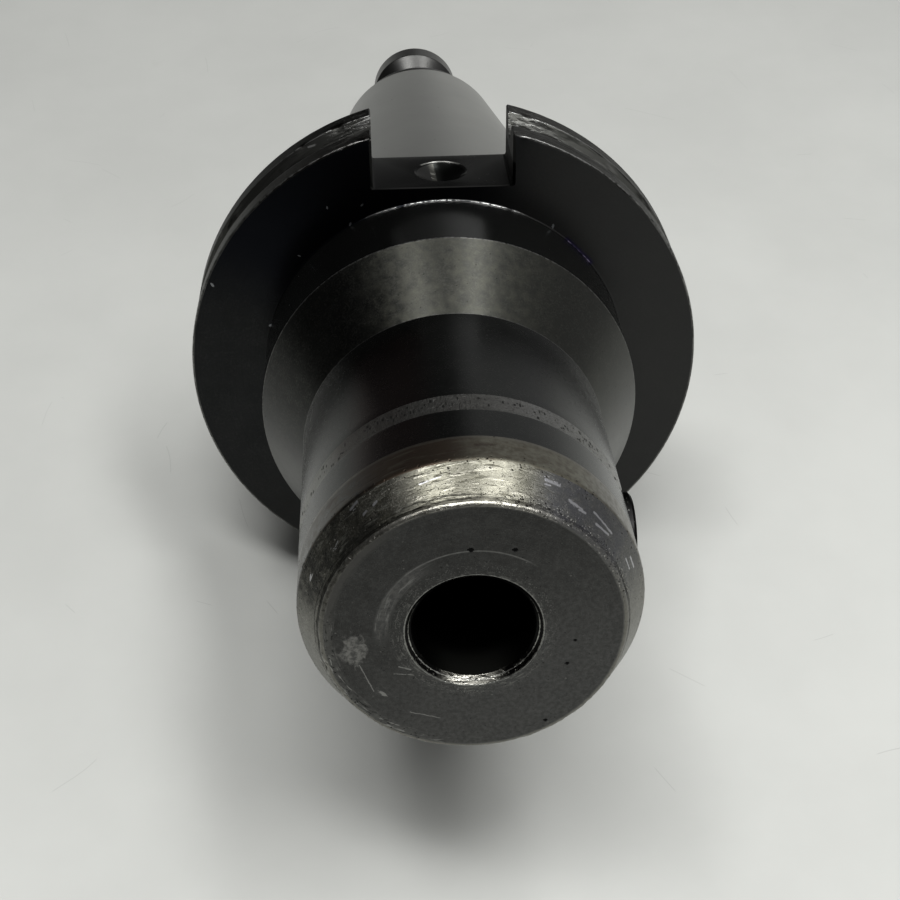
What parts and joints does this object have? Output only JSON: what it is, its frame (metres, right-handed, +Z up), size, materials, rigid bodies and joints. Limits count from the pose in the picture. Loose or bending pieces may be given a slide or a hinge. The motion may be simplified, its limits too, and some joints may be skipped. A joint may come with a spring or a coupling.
{
  "type": "side-lock tool holder",
  "caption": "Side-lock tool holder lying on its side: steep taper shank with a pull stud, grooved drive flange, and a plain bore with a side lock screw.",
  "frame": {"origin": "bottom centre of the whole holder as it lies on a flat surface", "axes": "+Z up; +Y from the nose to the pull stud, which lies lower; +X towards the lock screw"},
  "size_m": [0.0984, 0.249, 0.0958],
  "materials": {
    "holder_steel": "ground taper and nose, black oxide flange, worn and pitted at the front edge",
    "black_screw_steel": "black oxide",
    "dark_stud_steel": "dark turned steel"
  },
  "bodies": {
    "holder": {"holder_body": "holder_steel", "retention_knob": "dark_stud_steel"},
    "lock_screw": {"side_lock_screw": "black_screw_steel"}
  },
  "joints": [
    {"name": "lock_screw_travel", "type": "slide", "parent": "holder", "child": "lock_screw", "axis": [-1, 0, 0], "range_m": [-0.008, 0.0036]}
  ]
}
